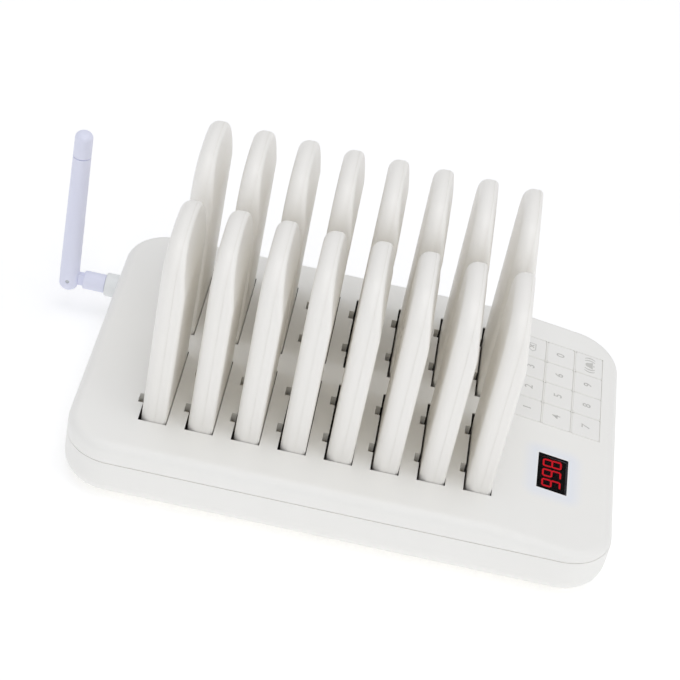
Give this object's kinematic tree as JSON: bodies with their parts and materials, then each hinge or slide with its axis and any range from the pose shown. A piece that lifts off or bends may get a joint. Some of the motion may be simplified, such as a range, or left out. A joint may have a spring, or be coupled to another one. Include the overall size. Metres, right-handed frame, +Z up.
{
  "type": "guest pager system",
  "caption": "Countertop guest pager system: upright paddle pagers standing in a charging base with a sloping keypad, a digit display and a folding antenna",
  "frame": {"origin": "on the surface that the feet stand on, under the middle of the bounding box with the antenna upright", "axes": "+X from the antenna to the keypad along the rows of pagers, +Y from front to back, +Z up"},
  "size_m": [0.2775, 0.163, 0.1272],
  "materials": {
    "case_abs": "fine satin moulded ABS, warm white",
    "pager_abs": "satin moulded ABS, warm white",
    "key_abs": "satin moulded ABS key caps with printed marks",
    "silicone": "moulded silicone keypad",
    "window_acrylic": "dark tinted acrylic",
    "display_epoxy": "digit module with red segments",
    "circuit_board": "glass epoxy board, green solder mask",
    "contact_nickel": "nickel plated spring strip",
    "pager_electronics": "board, cell, motor, sounder and pads",
    "zinc_steel": "zinc plated steel",
    "foot_rubber": "black rubber",
    "inlet_nylon": "black nylon",
    "antenna_plastic": "smooth polyurethane, pale cool white",
    "collar_abs": "moulded ABS, white"
  },
  "bodies": {
    "root": {"top_cover": "case_abs", "bottom_cover": "case_abs", "keypad_mat": "silicone", "display_window": "window_acrylic", "display_module": "display_epoxy", "main_board": "circuit_board", "charging_board": "circuit_board", "charging_contacts": "contact_nickel", "case_screws": "zinc_steel", "rubber_feet": "foot_rubber", "dc_socket": "inlet_nylon", "antenna_collar": "collar_abs"},
    "antenna_base": {"antenna_stem": "antenna_plastic"},
    "antenna": {"antenna_whip": "antenna_plastic", "antenna_tip": "antenna_plastic", "antenna_hinge_pin": "zinc_steel"},
    "pager_01": {"pager_01_case": "pager_abs", "pager_01_core": "pager_electronics"},
    "pager_02": {"pager_02_case": "pager_abs", "pager_02_core": "pager_electronics"},
    "pager_03": {"pager_03_case": "pager_abs", "pager_03_core": "pager_electronics"},
    "pager_04": {"pager_04_case": "pager_abs", "pager_04_core": "pager_electronics"},
    "pager_05": {"pager_05_case": "pager_abs", "pager_05_core": "pager_electronics"},
    "pager_06": {"pager_06_case": "pager_abs", "pager_06_core": "pager_electronics"},
    "pager_07": {"pager_07_case": "pager_abs", "pager_07_core": "pager_electronics"},
    "pager_08": {"pager_08_case": "pager_abs", "pager_08_core": "pager_electronics"},
    "pager_09": {"pager_09_case": "pager_abs", "pager_09_core": "pager_electronics"},
    "pager_10": {"pager_10_case": "pager_abs", "pager_10_core": "pager_electronics"},
    "pager_11": {"pager_11_case": "pager_abs", "pager_11_core": "pager_electronics"},
    "pager_12": {"pager_12_case": "pager_abs", "pager_12_core": "pager_electronics"},
    "pager_13": {"pager_13_case": "pager_abs", "pager_13_core": "pager_electronics"},
    "pager_14": {"pager_14_case": "pager_abs", "pager_14_core": "pager_electronics"},
    "pager_15": {"pager_15_case": "pager_abs", "pager_15_core": "pager_electronics"},
    "pager_16": {"pager_16_case": "pager_abs", "pager_16_core": "pager_electronics"},
    "key_1": {"key_1": "key_abs"},
    "key_2": {"key_2": "key_abs"},
    "key_3": {"key_3": "key_abs"},
    "key_delete": {"key_delete": "key_abs"},
    "key_4": {"key_4": "key_abs"},
    "key_5": {"key_5": "key_abs"},
    "key_6": {"key_6": "key_abs"},
    "key_0": {"key_0": "key_abs"},
    "key_7": {"key_7": "key_abs"},
    "key_8": {"key_8": "key_abs"},
    "key_9": {"key_9": "key_abs"},
    "key_call": {"key_call": "key_abs"}
  },
  "joints": [
    {"name": "pager_01_lift", "type": "slide", "parent": "root", "child": "pager_01", "axis": [0, 0, 1], "range_m": [0, 0.12]},
    {"name": "pager_02_lift", "type": "slide", "parent": "root", "child": "pager_02", "axis": [0, 0, 1], "range_m": [0, 0.12]},
    {"name": "pager_03_lift", "type": "slide", "parent": "root", "child": "pager_03", "axis": [0, 0, 1], "range_m": [0, 0.12]},
    {"name": "pager_04_lift", "type": "slide", "parent": "root", "child": "pager_04", "axis": [0, 0, 1], "range_m": [0, 0.12]},
    {"name": "pager_05_lift", "type": "slide", "parent": "root", "child": "pager_05", "axis": [0, 0, 1], "range_m": [0, 0.12]},
    {"name": "pager_06_lift", "type": "slide", "parent": "root", "child": "pager_06", "axis": [0, 0, 1], "range_m": [0, 0.12]},
    {"name": "pager_07_lift", "type": "slide", "parent": "root", "child": "pager_07", "axis": [0, 0, 1], "range_m": [0, 0.12]},
    {"name": "pager_08_lift", "type": "slide", "parent": "root", "child": "pager_08", "axis": [0, 0, 1], "range_m": [0, 0.12]},
    {"name": "pager_09_lift", "type": "slide", "parent": "root", "child": "pager_09", "axis": [0, 0, 1], "range_m": [0, 0.12]},
    {"name": "pager_10_lift", "type": "slide", "parent": "root", "child": "pager_10", "axis": [0, 0, 1], "range_m": [0, 0.12]},
    {"name": "pager_11_lift", "type": "slide", "parent": "root", "child": "pager_11", "axis": [0, 0, 1], "range_m": [0, 0.12]},
    {"name": "pager_12_lift", "type": "slide", "parent": "root", "child": "pager_12", "axis": [0, 0, 1], "range_m": [0, 0.12]},
    {"name": "pager_13_lift", "type": "slide", "parent": "root", "child": "pager_13", "axis": [0, 0, 1], "range_m": [0, 0.12]},
    {"name": "pager_14_lift", "type": "slide", "parent": "root", "child": "pager_14", "axis": [0, 0, 1], "range_m": [0, 0.12]},
    {"name": "pager_15_lift", "type": "slide", "parent": "root", "child": "pager_15", "axis": [0, 0, 1], "range_m": [0, 0.12]},
    {"name": "pager_16_lift", "type": "slide", "parent": "root", "child": "pager_16", "axis": [0, 0, 1], "range_m": [0, 0.12]},
    {"name": "key_1_press", "type": "slide", "parent": "root", "child": "key_1", "axis": [-0.1392, 0, -0.9903], "range_m": [0, 0.0006], "stiffness_N_per_m": 200, "springref_m": -0.001},
    {"name": "key_2_press", "type": "slide", "parent": "root", "child": "key_2", "axis": [-0.1392, 0, -0.9903], "range_m": [0, 0.0006], "stiffness_N_per_m": 200, "springref_m": -0.001},
    {"name": "key_3_press", "type": "slide", "parent": "root", "child": "key_3", "axis": [-0.1392, 0, -0.9903], "range_m": [0, 0.0006], "stiffness_N_per_m": 200, "springref_m": -0.001},
    {"name": "key_delete_press", "type": "slide", "parent": "root", "child": "key_delete", "axis": [-0.1392, 0, -0.9903], "range_m": [0, 0.0006], "stiffness_N_per_m": 200, "springref_m": -0.001},
    {"name": "key_4_press", "type": "slide", "parent": "root", "child": "key_4", "axis": [-0.1392, 0, -0.9903], "range_m": [0, 0.0006], "stiffness_N_per_m": 200, "springref_m": -0.001},
    {"name": "key_5_press", "type": "slide", "parent": "root", "child": "key_5", "axis": [-0.1392, 0, -0.9903], "range_m": [0, 0.0006], "stiffness_N_per_m": 200, "springref_m": -0.001},
    {"name": "key_6_press", "type": "slide", "parent": "root", "child": "key_6", "axis": [-0.1392, 0, -0.9903], "range_m": [0, 0.0006], "stiffness_N_per_m": 200, "springref_m": -0.001},
    {"name": "key_0_press", "type": "slide", "parent": "root", "child": "key_0", "axis": [-0.1392, 0, -0.9903], "range_m": [0, 0.0006], "stiffness_N_per_m": 200, "springref_m": -0.001},
    {"name": "key_7_press", "type": "slide", "parent": "root", "child": "key_7", "axis": [-0.1392, 0, -0.9903], "range_m": [0, 0.0006], "stiffness_N_per_m": 200, "springref_m": -0.001},
    {"name": "key_8_press", "type": "slide", "parent": "root", "child": "key_8", "axis": [-0.1392, 0, -0.9903], "range_m": [0, 0.0006], "stiffness_N_per_m": 200, "springref_m": -0.001},
    {"name": "key_9_press", "type": "slide", "parent": "root", "child": "key_9", "axis": [-0.1392, 0, -0.9903], "range_m": [0, 0.0006], "stiffness_N_per_m": 200, "springref_m": -0.001},
    {"name": "key_call_press", "type": "slide", "parent": "root", "child": "key_call", "axis": [-0.1392, 0, -0.9903], "range_m": [0, 0.0006], "stiffness_N_per_m": 200, "springref_m": -0.001},
    {"name": "antenna_swivel", "type": "hinge", "parent": "root", "child": "antenna_base", "pos_m": [-0.11572, 0.04775, 0.0192], "axis": [1, 0, 0], "range_deg": [-90, 90]},
    {"name": "antenna_fold", "type": "hinge", "parent": "antenna_base", "child": "antenna", "pos_m": [-0.13392, 0.04775, 0.0192], "axis": [0, -1, 0], "range_deg": [0, 90]}
  ]
}
